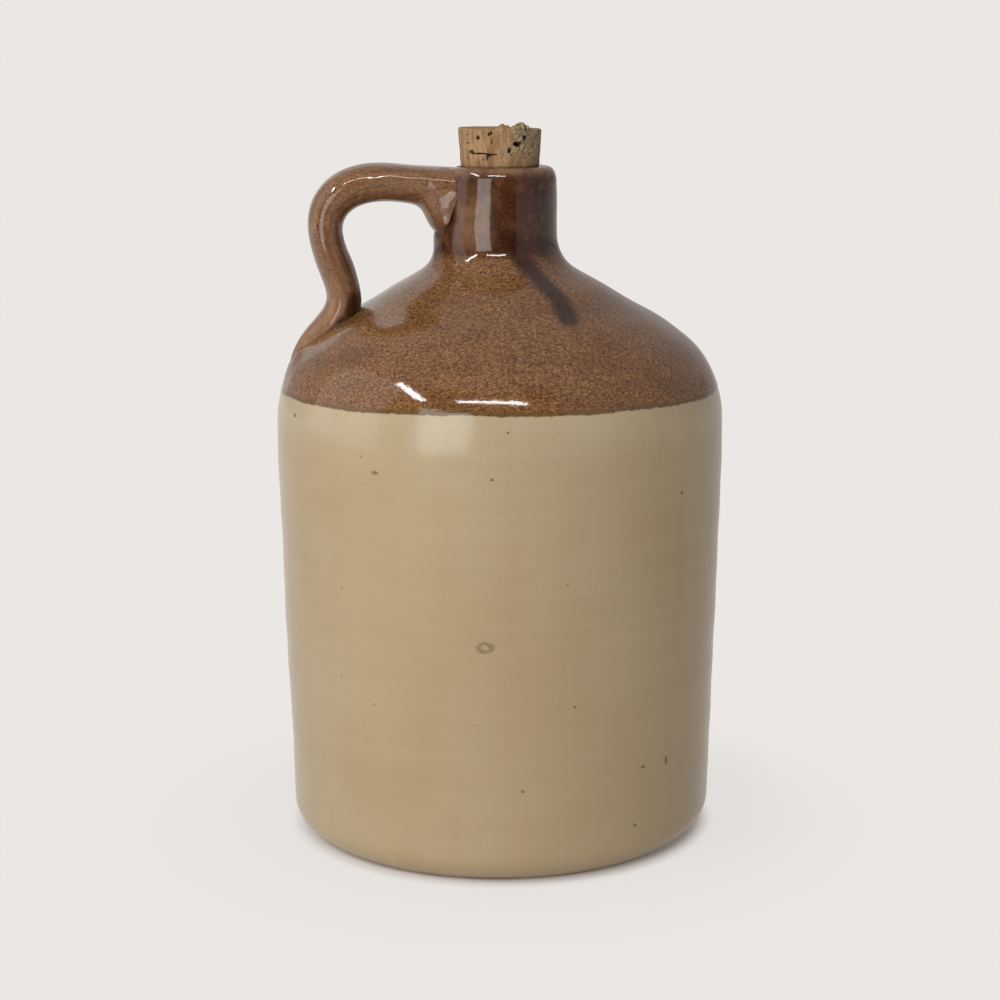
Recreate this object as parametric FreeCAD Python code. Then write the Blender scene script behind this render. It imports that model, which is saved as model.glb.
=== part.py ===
"""Stoneware whiskey jug of about one gallon, with a strap handle, closed by a cork.

The jug is one fired piece: a tapering body, a domed shoulder, a short neck with a rolled rim, and a
pulled handle luted on from the neck to the shoulder. It is closed and opaque, so it is solid below the
cork's seat. The cork is a second piece, a tapered plug that sits in the neck.

Frame: millimetres, +Z up, origin on the jug's axis at the flat foot. The handle stands towards -X, in the
XZ plane.
"""

import FreeCAD
import Part

import math
import os

# Overall sizes.
BELLY_RADIUS = 88.85        # widest radius of the body
BELLY_HEIGHT = 161.0        # height at which the body is widest
RIM_HEIGHT = 266.5          # top of the rim

# Foot and wall.
FOOT_INSET = 12.25          # from the belly's radius in to the edge of the flat foot
FOOT_BEVEL = 36.0           # degrees from level, of the bevel under the heel
HEEL_RADIUS = 11.6          # round between the bevel and the wall
WALL_TAPER = 1.78           # degrees that the wall leans out from the heel upwards
WALL_BOW_RADIUS = 1108.0    # long curve that brings the wall upright at the belly

# Shoulder, from the belly up: radius and degrees of turn of each arc.
BELLY_ARC = (129.4, 4.4)
SHOULDER_ARC = (41.5, 44.8)
CROWN_ARC = (82.5, 13.2)
# Hollow between the shoulder's cone and the neck.
HOLLOW_ARC = (59.3, 10.9)
NECK_ARC_RADIUS = 17.7
NECK_TAPER = 0.8            # degrees that the neck leans in towards the rim

# Rim.
RIM_OUTER_ROUND = 4.6
RIM_INNER_ROUND = 0.9

# Cork, and its seat in the neck.
CORK_TOP_RADIUS = 16.5
CORK_LENGTH = 38.0
CORK_TAPER = 4.0            # degrees of each side
CORK_STAND = 15.0           # height of the cork above the rim
CORK_EDGE = 0.7             # round of both end edges
SEAT_DEPTH_SPARE = 0.3      # gap under the cork
SEAT_CLEARANCE = 0.05       # radial gap between cork and seat
NECK_WALL = 7.2             # of the neck, around the cork at the rim

# Strap handle.
HANDLE_WIDTH = 25.0         # across the strap
HANDLE_THICKNESS = 14.6     # through the strap at its top
HANDLE_TOP_DROP = 5.5       # centre of the strap's top run below the rim
HANDLE_ROOT_DROP = 13.6     # centre of the root on the neck below the rim
HANDLE_ROOT_HEIGHT = 26.0   # height of the root on the neck
HANDLE_ROOT_SINK = 4.2      # depth of the root's end inside the neck's wall
HANDLE_ROOT_RUN = 16.5      # from the root's end out to where the strap has its own thickness
HANDLE_FOOT_INSET = 27.05   # from the belly's radius in to the strap's centre where it meets the shoulder
HANDLE_BOW = 6.7            # of the strap's centre, at its outermost point, beyond its foot
HANDLE_FOOT_RISE = 8.1      # centre of the last free section above the shoulder
HANDLE_FOOT_SINK = 6.0      # depth of the strap's lower end inside the shoulder

# Tail of the strap, pressed down along the shoulder.
TAIL_WIDTH = 29.0
TAIL_RISE = 8.3             # above the chord from the strap's foot to the tail's end
TAIL_SINK = 5.0             # below that chord, inside the shoulder
TAIL_END_INSET = 2.45       # from the belly's radius in to where the tail has thinned out
TAIL_STATIONS = (
    (-0.12, 0.55, 0.80), (0.06, 1.00, 0.94), (0.27, 1.00, 1.00), (0.50, 0.93, 0.98),
    (0.70, 0.66, 0.90), (0.88, 0.33, 0.74), (1.06, -0.20, 0.50),
)

OUTLINE_STEPS = 600         # samples used to read heights off the outline
OVAL_POINTS = 12            # points that each oval is drawn through
RADIAL = -1.0               # the handle's side of the axis, along X


def unit(angle):
    """Direction in the profile's plane at an angle in degrees from outwards, as (radial, up)."""
    return math.cos(math.radians(angle)), math.sin(math.radians(angle))


def point(radius, height):
    """Point of the XZ plane at a distance from the axis and a height."""
    return FreeCAD.Vector(radius, 0, height)


class Outline:
    """A profile drawn as a chain of tangent straight runs and arcs, with a current point and heading."""

    def __init__(self, radius, height, heading):
        self.radius, self.height, self.heading = radius, height, heading
        self.edges = []

    def run(self, length):
        """Straight run of a length along the heading."""
        across, up = unit(self.heading)
        self.line_to(self.radius + length * across, self.height + length * up)

    def line_to(self, radius, height):
        """Straight line to a point; the heading stays."""
        start = point(self.radius, self.height)
        self.edges.append(Part.LineSegment(start, point(radius, height)).toShape())
        self.radius, self.height = radius, height

    def turn(self, bend, degrees):
        """Tangent arc of radius bend; positive degrees turn towards the axis on an upward run."""
        side = math.copysign(1.0, degrees)
        across, up = unit(self.heading)
        centre = (self.radius - side * bend * up, self.height + side * bend * across)
        places = []
        for share in (0.0, 0.5, 1.0):
            across, up = unit(self.heading + share * degrees)
            places.append(point(centre[0] + side * bend * up, centre[1] - side * bend * across))
        self.edges.append(Part.Arc(*places).toShape())
        self.heading += degrees
        self.radius, self.height = places[-1].x, places[-1].z


def arc_step(bend, start, degrees):
    """Radial and upward travel of a tangent arc that starts at a heading."""
    side = math.copysign(1.0, degrees)
    across, up = unit(start)
    across_end, up_end = unit(start + degrees)
    return side * bend * (up_end - up), side * bend * (across - across_end)


def lower_outline():
    """Foot, heel and wall, from the axis out and up to the belly."""
    wall_heading = 90.0 - WALL_TAPER
    bow = arc_step(WALL_BOW_RADIUS, wall_heading, WALL_TAPER)
    wall_end = (BELLY_RADIUS - bow[0], BELLY_HEIGHT - bow[1])
    # Corner where the bevel's line meets the wall's line, found from their two directions.
    bevel, wall = unit(FOOT_BEVEL), unit(wall_heading)
    cross = bevel[0] * wall[1] - bevel[1] * wall[0]
    foot = BELLY_RADIUS - FOOT_INSET
    gap = (wall_end[0] - foot, wall_end[1])
    to_corner = (gap[0] * wall[1] - gap[1] * wall[0]) / cross
    wall_length = (bevel[0] * gap[1] - bevel[1] * gap[0]) / cross
    heel_turn = wall_heading - FOOT_BEVEL
    tangent = HEEL_RADIUS * math.tan(math.radians(heel_turn / 2))

    outline = Outline(0.0, 0.0, 0.0)
    outline.line_to(foot, 0.0)
    outline.heading = FOOT_BEVEL
    outline.run(to_corner - tangent)
    outline.turn(HEEL_RADIUS, heel_turn)
    outline.run(wall_length - tangent)
    outline.turn(WALL_BOW_RADIUS, WALL_TAPER)
    return outline


def add_upper_outline(outline):
    """Shoulder and neck, from the belly to where the rim's round starts."""
    for bend, degrees in (BELLY_ARC, SHOULDER_ARC, CROWN_ARC):
        outline.turn(bend, degrees)
    cone = outline.heading
    neck = 90.0 + NECK_TAPER
    after_hollow = cone - HOLLOW_ARC[1]
    hollow = arc_step(HOLLOW_ARC[0], cone, -HOLLOW_ARC[1])
    bend = arc_step(NECK_ARC_RADIUS, after_hollow, neck - after_hollow)
    # The cone's run and the neck's run are the two lengths that bring the neck to its radius and height.
    across = neck_radius() - outline.radius - hollow[0] - bend[0]
    up = RIM_HEIGHT - RIM_OUTER_ROUND - outline.height - hollow[1] - bend[1]
    cone_way, neck_way = unit(cone), unit(neck)
    cross = cone_way[0] * neck_way[1] - cone_way[1] * neck_way[0]
    outline.run((across * neck_way[1] - up * neck_way[0]) / cross)
    outline.turn(HOLLOW_ARC[0], -HOLLOW_ARC[1])
    outline.turn(NECK_ARC_RADIUS, neck - after_hollow)
    outline.run((cone_way[0] * up - cone_way[1] * across) / cross)
    return outline


def cork_radius(depth):
    """Radius of the cork at a depth below its top."""
    return CORK_TOP_RADIUS - depth * math.tan(math.radians(CORK_TAPER))


def seat_radius(depth):
    """Radius of the cork's seat at a depth below the cork's top."""
    return cork_radius(depth) + SEAT_CLEARANCE


def neck_radius():
    """Outside radius of the neck at the rim."""
    return seat_radius(CORK_STAND) + NECK_WALL


def jug_body(outline):
    """Body of revolution with the cork's seat cut into the neck."""
    mouth_radius = seat_radius(CORK_STAND)
    outline.turn(RIM_OUTER_ROUND, 180.0 - outline.heading)
    top = outline.height
    floor = top - (CORK_LENGTH - CORK_STAND + SEAT_DEPTH_SPARE)
    outline.line_to(mouth_radius, top)
    outline.line_to(seat_radius(CORK_LENGTH + SEAT_DEPTH_SPARE), floor)
    outline.line_to(0.0, floor)
    outline.line_to(0.0, 0.0)
    face = Part.Face(Part.Wire(outline.edges))
    body = face.revolve(FreeCAD.Vector(0, 0, 0), FreeCAD.Vector(0, 0, 1), 360)
    mouth = [edge for edge in body.Edges if is_mouth(edge, mouth_radius, top)]
    return body.makeFillet(RIM_INNER_ROUND, mouth)


def is_mouth(edge, radius, height):
    """Whether an edge is the circle where the rim's top meets the cork's seat."""
    curve = edge.Curve
    if not isinstance(curve, Part.Circle):
        return False
    return abs(curve.Radius - radius) < 1e-6 and abs(curve.Center.z - height) < 1e-6


def shoulder_heights(outline):
    """Function that gives the height of the outline at a radius, above the belly."""
    steps = OUTLINE_STEPS // len(outline.edges)
    places = [place for edge in outline.edges for place in edge.discretize(steps)]
    places = [place for place in places if place.z >= BELLY_HEIGHT]

    def height_at(radius):
        for outer, inner in zip(places, places[1:]):
            if inner.x <= radius <= outer.x and outer.x > inner.x:
                share = (outer.x - radius) / (outer.x - inner.x)
                return outer.z + share * (inner.z - outer.z)
        return places[0].z

    return height_at


def strap(surface):
    """Strap from inside the neck's wall, up, out and down to inside the shoulder."""
    rim, foot = RIM_HEIGHT, BELLY_RADIUS - HANDLE_FOOT_INSET
    reach = foot + HANDLE_BOW
    top = rim - HANDLE_TOP_DROP
    root = neck_radius() - HANDLE_ROOT_SINK
    neck_run, arch = HANDLE_ROOT_RUN, reach - root - HANDLE_ROOT_RUN
    foot_height = surface(foot) + HANDLE_FOOT_RISE
    fall = top - foot_height
    thick, width = HANDLE_THICKNESS, HANDLE_WIDTH
    # Distance from the axis, height, thickness and width of each section.
    stations = [
        (root, rim - HANDLE_ROOT_DROP, HANDLE_ROOT_HEIGHT, width * 1.04),
        (root + 0.48 * neck_run, rim - 0.64 * HANDLE_ROOT_DROP, HANDLE_ROOT_HEIGHT * 0.70, width * 1.02),
        (root + neck_run, rim - 0.48 * HANDLE_ROOT_DROP, thick * 1.06, width),
        (root + neck_run + 0.34 * arch, top, thick * 1.04, width),
        (root + neck_run + 0.64 * arch, top - 0.028 * fall, thick * 1.06, width),
        (root + neck_run + 0.88 * arch, top - 0.150 * fall, thick * 1.07, width),
        (reach, top - 0.404 * fall, thick * 0.96, width * 0.98),
        (reach - 0.37 * (reach - foot), top - 0.653 * fall, thick * 0.94, width * 0.97),
        (reach - 0.86 * (reach - foot), top - 0.867 * fall, thick * 0.91, width * 0.97),
        (foot, foot_height, thick * 0.90, width),
        (foot, surface(foot) - HANDLE_FOOT_SINK, thick * 0.90, width),
    ]
    centres = [point(RADIAL * radius, height) for radius, height, _, _ in stations]
    spine = Part.BSplineCurve()
    spine.interpolate(centres)
    ways = [spine.tangent(spine.parameter(centre))[0] for centre in centres]
    # The two ends are upright in the neck's wall and level inside the shoulder.
    ways[0], ways[-1] = point(RADIAL, 0), point(0, -1)
    sizes = [(thickness, width) for _, _, thickness, width in stations]
    return loft(centres, ways, sizes)


def tail(surface):
    """Tail of the strap, pressed along the shoulder and thinning out into it."""
    start, end = (
        point(RADIAL * radius, surface(radius))
        for radius in (BELLY_RADIUS - HANDLE_FOOT_INSET, BELLY_RADIUS - TAIL_END_INSET)
    )
    chord = end - start
    way = FreeCAD.Vector(chord).normalize()
    outward = across().cross(way).normalize()
    centres, sizes = [], []
    # Share of the chord, share of the tail's greatest rise above it, and share of the width.
    for along, rise, spread in TAIL_STATIONS:
        top = rise * TAIL_RISE
        centres.append(start + chord * along + outward * ((top - TAIL_SINK) / 2))
        sizes.append((top + TAIL_SINK, TAIL_WIDTH * spread))
    return loft(centres, [way] * len(centres), sizes)


def across():
    """Direction across the strap's width."""
    return FreeCAD.Vector(0, 1, 0)


def loft(centres, ways, sizes):
    """Solid through ovals at centres, square to ways, with the thickness and width in sizes."""
    sections = []
    for centre, way, (thickness, width) in zip(centres, ways, sizes):
        through = FreeCAD.Vector(*way).cross(across()).normalize()
        sections.append(oval(centre, across() * (width / 2), through * (thickness / 2)))
    return Part.makeLoft(sections, True, False)


def oval(centre, side, through):
    """Closed smooth oval with two half axes, as one periodic curve that starts on the side axis."""
    places = []
    for step in range(OVAL_POINTS):
        angle = 2 * math.pi * step / OVAL_POINTS
        places.append(centre + side * math.cos(angle) + through * math.sin(angle))
    curve = Part.BSplineCurve()
    curve.interpolate(Points=places, PeriodicFlag=True)
    return Part.Wire(curve.toShape())


def cork():
    """Tapered cork with softened end edges, standing above the rim."""
    top = RIM_HEIGHT + CORK_STAND
    bottom = top - CORK_LENGTH
    plug = Part.makeCone(cork_radius(CORK_LENGTH), CORK_TOP_RADIUS, CORK_LENGTH, point(0, bottom))
    ends = [edge for edge in plug.Edges if isinstance(edge.Curve, Part.Circle)]
    return plug.makeFillet(CORK_EDGE, ends)


def main():
    """Build both pieces and write one STEP file each."""
    outline = add_upper_outline(lower_outline())
    surface = shoulder_heights(outline)
    jug = jug_body(outline).fuse(strap(surface)).fuse(tail(surface))
    os.makedirs("parts", exist_ok=True)
    for name, shape in (("jug", jug), ("cork", cork())):
        solid = shape.Solids[0]
        print(name, "solids", len(shape.Solids), "valid", shape.isValid(), "volume", round(solid.Volume))
        solid.exportStep(f"parts/{name}.step")


main()
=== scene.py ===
"""Two-tone stoneware jug with a strap handle and a cork: the looks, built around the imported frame.

The jug's and the cork's lengths are in millimetres, as a potter would measure them, and are turned to
metres where a mesh or a material's scale is made. The studio's are in metres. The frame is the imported
model's: +Z up, the jug's axis on Z, the foot at z = 0, the handle towards -X and the front towards -Y.
"""

import logging
import math
from dataclasses import dataclass, field
from enum import Enum
from functools import cached_property

import bpy
import numpy as np
from mathutils import Matrix, Vector

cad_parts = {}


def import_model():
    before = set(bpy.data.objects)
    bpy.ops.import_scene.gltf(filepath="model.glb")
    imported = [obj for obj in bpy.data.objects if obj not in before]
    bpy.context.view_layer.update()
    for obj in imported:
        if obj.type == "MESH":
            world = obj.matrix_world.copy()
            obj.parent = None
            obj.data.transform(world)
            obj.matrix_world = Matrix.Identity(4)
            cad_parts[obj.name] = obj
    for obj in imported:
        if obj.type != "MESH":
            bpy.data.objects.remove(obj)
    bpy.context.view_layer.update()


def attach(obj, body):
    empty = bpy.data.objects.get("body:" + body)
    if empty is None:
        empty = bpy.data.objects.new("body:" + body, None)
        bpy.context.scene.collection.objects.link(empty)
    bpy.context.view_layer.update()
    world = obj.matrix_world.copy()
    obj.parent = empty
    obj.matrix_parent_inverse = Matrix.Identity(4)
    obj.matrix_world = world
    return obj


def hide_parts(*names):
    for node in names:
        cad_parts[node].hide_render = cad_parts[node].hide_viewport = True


LOG = logging.getLogger("jug")
MM = 0.001
Array = np.ndarray
Socket = bpy.types.NodeSocket


# ---------------------------------------------------------------- small tools


def linear(colour: str) -> tuple[float, float, float, float]:
    """Turn an sRGB hex colour into linear RGBA.

    Args:
        colour: Six hex digits, such as "8a5c3c".

    Returns:
        Red, green, blue and an alpha of 1, each from 0 to 1.
    """
    parts = [int(colour[place:place + 2], 16) / 255 for place in (0, 2, 4)]
    return (*(c / 12.92 if c <= 0.04045 else ((c + 0.055) / 1.055) ** 2.4 for c in parts), 1.0)


def per_metre(size_mm: float) -> float:
    """Scale of a texture whose features are size_mm across, on coordinates in metres."""
    return 1.0 / (size_mm * MM)


def smoothstep(low: float, high: float, values: Array) -> Array:
    """Rise from 0 at low to 1 at high along 3t^2 - 2t^3, with level ends; low may be the larger."""
    share = np.clip((values - low) / (high - low), 0.0, 1.0)
    return share * share * (3.0 - 2.0 * share)


def bell(values: Array, centre: float, width: float) -> Array:
    """Gaussian hump exp(-((v - centre) / width)^2)."""
    return np.exp(-(((values - centre) / width) ** 2))


def value_noise(points: Array, size: float, seed: int) -> Array:
    """Smooth random field, -1 to 1, by blending hashed values at the corners of cubic cells.

    Args:
        points: Array of shape (..., 3), in millimetres.
        size: Edge of a cell, in millimetres.
        seed: Picks one of many fields.

    Returns:
        Array of the points' shape without its last axis.
    """
    scaled = points / size
    cell = np.floor(scaled).astype(np.int64)
    part = scaled - cell
    part = part * part * (3.0 - 2.0 * part)
    total = np.zeros(points.shape[:-1])
    # Large odd factors scatter the values of neighbouring cells.
    for corner in np.ndindex(2, 2, 2):
        offset = np.array(corner)
        key = (cell + offset) @ np.array([73856093, 19349663, 83492791]) + seed * 2654435761
        key = (key ^ (key >> 13)) * 1274126177 & 0x7FFFFFFF
        value = ((key ^ (key >> 16)) & 0xFFFF) / 32767.5 - 1.0
        weight = np.where(offset == 1, part, 1.0 - part).prod(axis=-1)
        total += weight * value
    return total


def cubic_through(knots: Array, count: int) -> Array:
    """Natural cubic spline through knots, sampled evenly along its length.

    The spline's parameter is the summed chord length, and its second derivatives M solve the usual
    tridiagonal system h0*M0 + 2(h0+h1)*M1 + h1*M2 = 6(slope1 - slope0), with M = 0 at both ends.

    Args:
        knots: Array of shape (n, d). The first two columns set the chord length.
        count: Number of samples.

    Returns:
        Array of shape (count, d).
    """
    step = np.linalg.norm(np.diff(knots[:, :2], axis=0), axis=1)
    place = np.concatenate([[0.0], np.cumsum(step)])
    slope = np.diff(knots, axis=0) / step[:, None]
    size = len(knots)
    system = np.eye(size)
    inner = np.arange(1, size - 1)
    system[inner, inner - 1] = step[:-1]
    system[inner, inner] = 2.0 * (step[:-1] + step[1:])
    system[inner, inner + 1] = step[1:]
    target = np.zeros_like(knots)
    target[1:-1] = 6.0 * np.diff(slope, axis=0)
    bend = np.linalg.solve(system, target)
    at = np.linspace(0.0, place[-1], count)
    part = np.clip(np.searchsorted(place, at, side="right") - 1, 0, size - 2)
    h, ahead, behind = step[part, None], (place[part + 1] - at)[:, None], (at - place[part])[:, None]
    cubic = (bend[part] * ahead**3 + bend[part + 1] * behind**3) / (6.0 * h)
    line = (knots[part] / h - bend[part] * h / 6.0) * ahead
    return cubic + line + (knots[part + 1] / h - bend[part + 1] * h / 6.0) * behind


def signed_power(values: Array, power: float | Array) -> Array:
    """sign(v) * |v|^power, the building block of a superellipse."""
    return np.sign(values) * np.abs(values) ** power


# ---------------------------------------------------------------- meshes


@dataclass
class Tube:
    """A closed surface of rings: its ends are poles, and each ring joins up with itself.

    Attributes:
        name: Name of the piece.
        rings: Points of shape (rings, around, 3), in millimetres.
        start: Pole before the first ring.
        end: Pole after the last ring.
        fields: Named values per ring point, of shape (rings, around), for the materials.
    """

    name: str
    rings: Array
    start: Array
    end: Array
    fields: dict[str, Array] = field(default_factory=dict)

    def faces(self) -> tuple[Array, Array]:
        """Join up the points: quads between neighbouring rings, a fan from each end ring to its pole.

        Returns:
            The quads and the triangles, as numbers of points.
        """
        rows, around = self.rings.shape[:2]
        index = np.arange(rows * around).reshape(rows, around)
        ahead = np.roll(index, -1, axis=1)
        quads = np.stack([index[:-1], ahead[:-1], ahead[1:], index[1:]], axis=-1).reshape(-1, 4)
        first, last = rows * around, rows * around + 1
        start = np.stack([ahead[0], index[0], np.full(around, first)], axis=-1)
        end = np.stack([index[-1], ahead[-1], np.full(around, last)], axis=-1)
        return quads, np.concatenate([start, end])

    def build(self) -> bpy.types.Object:
        """Make the object, with its faces outwards and shaded smooth.

        The signed volume, the sum of p0 . (p1 x p2) / 6 over all triangles, tells which way they face.

        Returns:
            The new object, at the origin, linked to the scene.
        """
        points = np.concatenate([self.rings.reshape(-1, 3), self.start[None], self.end[None]])
        quads, fans = self.faces()
        split = np.concatenate([quads[:, [0, 1, 2]], quads[:, [0, 2, 3]], fans])
        corner = points[split]
        volume = np.einsum("ij,ij->i", corner[:, 0], np.cross(corner[:, 1], corner[:, 2])).sum()
        if volume < 0:
            quads, fans = quads[:, ::-1], fans[:, ::-1]
        mesh = bpy.data.meshes.new(self.name)
        mesh.from_pydata((points * MM).tolist(), [], quads.tolist() + fans.tolist())
        mesh.polygons.foreach_set("use_smooth", np.ones(len(mesh.polygons), dtype=bool))
        for name, values in self.fields.items():
            whole = np.concatenate([values.ravel(), [values[0].mean(), values[-1].mean()]])
            mesh.attributes.new(name, "FLOAT", "POINT").data.foreach_set("value", whole.astype(np.float32))
        mesh.update()
        piece = bpy.data.objects.new(self.name, mesh)
        bpy.context.scene.collection.objects.link(piece)
        return piece


def panel(name: str, points: Array, faces: list[tuple[int, ...]]) -> bpy.types.Object:
    """Make an open panel of flat faces for the studio.

    Args:
        name: Its name.
        points: Its corners, in metres.
        faces: Its faces, as numbers of corners.

    Returns:
        The new object, linked to the scene.
    """
    mesh = bpy.data.meshes.new(name)
    mesh.from_pydata(points.tolist(), [], faces)
    piece = bpy.data.objects.new(name, mesh)
    bpy.context.scene.collection.objects.link(piece)
    return piece


class Outline:
    """Half section of a thrown form: a chain of straight runs and arcs, sampled as it is drawn.

    Attributes:
        place: Radius and height where the next run or arc starts, in millimetres.
        heading: Its direction, in degrees up from outwards.
        points: Radius and height of each sample.
        normals: Outward direction at each sample.
    """

    def __init__(self, radius: float, height: float, heading: float) -> None:
        """Start at a place with a heading.

        Args:
            radius: Distance from the axis, in millimetres.
            height: Height, in millimetres.
            heading: Degrees up from outwards.
        """
        self.place = np.array([radius, height])
        self.heading = heading
        self.points: list[Array] = []
        self.normals: list[Array] = []

    def _direction(self, degrees: Array) -> Array:
        """Unit vectors at angles up from outwards."""
        angle = np.radians(degrees)
        return np.stack([np.cos(angle), np.sin(angle)], axis=-1)

    def _add(self, points: Array, degrees: Array) -> None:
        """Store samples and their normals, which lie a right angle clockwise of the heading.

        Args:
            points: The samples.
            degrees: Heading at each sample.
        """
        self.points.append(points)
        self.normals.append(self._direction(degrees - 90.0))
        self.place = points[-1]

    def run(self, length: float, step: float) -> "Outline":
        """Draw a straight run: place + t * direction, for t up to the length.

        Args:
            length: Length, in millimetres.
            step: Rough distance between samples.

        Returns:
            The outline.
        """
        share = np.linspace(0.0, 1.0, max(2, round(length / step) + 1))[1:, None]
        points = self.place + share * length * self._direction(np.array(self.heading))
        self._add(points, np.full(len(points), self.heading))
        return self

    def turn(self, radius: float, degrees: float, step: float) -> "Outline":
        """Draw an arc that carries straight on from the line: centre + radius * (cos, sin).

        Args:
            radius: Its radius, in millimetres.
            degrees: How far it turns. Above 0 it turns from outwards to upwards.
            step: Rough distance between samples.

        Returns:
            The outline.
        """
        count = max(3, round(abs(math.radians(degrees)) * radius / step) + 1)
        angles = self.heading + degrees * np.linspace(0.0, 1.0, count)[1:]
        side = math.copysign(radius, degrees)
        centre = self.place - side * self._direction(np.array(self.heading - 90.0))
        self._add(centre + side * self._direction(angles - 90.0), angles)
        self.heading += degrees
        return self

    def sampled(self) -> tuple[Array, Array]:
        """All points and normals, each of shape (samples, 2)."""
        return np.concatenate(self.points), np.concatenate(self.normals)


# ---------------------------------------------------------------- nodes


# Settings of a Map Range node that eases in and out, as smoothstep does.
SOFT = {"interpolation_type": "SMOOTHSTEP"}


class Nodes:
    """A material's or the world's node tree, and the two patterns that the finishes share."""

    def __init__(self, tree: bpy.types.NodeTree) -> None:
        """Start with the tree empty."""
        self.tree = tree
        tree.nodes.clear()

    @cached_property
    def place(self) -> Socket:
        """Object coordinates, in metres."""
        return self.add("TexCoord", take="Object")

    def add(self, kind: str, inputs: tuple | dict = (), take: int | str = 0,
            **settings: object) -> Socket | None:
        """Add a node with its settings and links.

        Args:
            kind: The node's type, without its leading "ShaderNode".
            inputs: Sockets, values or hex colours that feed it, in order or by socket name or number.
            take: Name or number of the output wanted. That output's node holds the others.
            settings: The node's own properties. "stops" is a colour ramp's list of (place, hex).

        Returns:
            The output wanted, or None from a node without outputs.
        """
        node = self.tree.nodes.new("ShaderNode" + kind)
        for name, value in settings.items():
            if name == "stops":
                ramp = node.color_ramp.elements
                while len(ramp) < len(value):
                    ramp.new(0.5)
                for stop, (place, colour) in zip(ramp, value):
                    stop.position, stop.color = place, linear(colour)
            else:
                setattr(node, name, value)
        feeds = inputs if isinstance(inputs, dict) else dict(enumerate(inputs))
        for name, value in feeds.items():
            if isinstance(value, Socket):
                self.tree.links.new(value, node.inputs[name])
            else:
                node.inputs[name].default_value = linear(value) if isinstance(value, str) else value
        return node.outputs[take] if node.outputs else None

    def cloud(self, size_mm: float, detail: float = 2.0, roughness: float = 0.5,
              stretch: tuple[float, float, float] = (1.0, 1.0, 1.0)) -> Socket:
        """Cloudy pattern on the piece.

        Args:
            size_mm: Size of its features.
            detail: Number of finer steps in it.
            roughness: Weight of each finer step.
            stretch: How many times longer its features are along X, Y and Z.

        Returns:
            Its value, from 0 to 1 and mostly near 0.5.
        """
        at = self.add("Mapping", {"Vector": self.place, "Scale": tuple(1.0 / s for s in stretch)})
        feeds = {"Vector": at, "Scale": per_metre(size_mm), "Detail": detail, "Roughness": roughness}
        return self.add("TexNoise", feeds, "Fac")

    def coat(self, under: Socket | str, over: Socket | str, where: Socket, strength: float = 1.0,
             span: tuple[float, float] | None = None) -> Socket:
        """Lay one colour over another where a value is high.

        Args:
            under: Colour below.
            over: Colour laid on it.
            where: The value.
            strength: Share of the upper colour where the value is full.
            span: Values between which the upper colour comes in, with soft ends. Without it the value
                is itself the share, from 0 to 1.

        Returns:
            The blended colour.
        """
        low, high = span or (0.0, 1.0)
        ease = "SMOOTHSTEP" if span else "LINEAR"
        share = self.add("MapRange", (where, low, high, 0.0, strength), interpolation_type=ease)
        return self.add("Mix", {0: share, 6: under, 7: over}, 2, data_type="RGBA")


def new_material(name: str) -> tuple[bpy.types.Material, Nodes]:
    """Make an empty node material.

    Args:
        name: Its name.

    Returns:
        The material and its tree.
    """
    material = bpy.data.materials.new(name)
    material.use_nodes = True
    return material, Nodes(material.node_tree)


# ---------------------------------------------------------------- finishes


@dataclass(frozen=True)
class Coat:
    """A colour that lies over those below it where a cloudy pattern runs high.

    Attributes:
        colour: The colour, in hex.
        size_mm: Size of the pattern's features.
        span: Values of the pattern between which the colour comes in.
        strength: The colour's share where it is full.
        detail: Number of finer steps in the pattern.
        roughness: Weight of each finer step.
        stretch: How many times longer the features are along X, Y and Z.
    """

    colour: str
    size_mm: float
    span: tuple[float, float]
    strength: float = 1.0
    detail: float = 2.0
    roughness: float = 0.5
    stretch: tuple[float, float, float] = (1.0, 1.0, 1.0)

    def over(self, nodes: Nodes, under: Socket | str) -> Socket:
        """The colour below with this coat on it."""
        pattern = nodes.cloud(self.size_mm, self.detail, self.roughness, self.stretch)
        return nodes.coat(under, self.colour, pattern, self.strength, self.span)


class Mark(Enum):
    """Shape of a mark fired into the glaze, with how dark it is."""

    SPOT = 0.75
    RING = 0.55


@dataclass(frozen=True)
class Blemish:
    """A mark fired into the glaze: its place and size in millimetres, and its shape."""

    x: float
    z: float
    width: float
    height: float
    shape: Mark = Mark.SPOT


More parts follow.
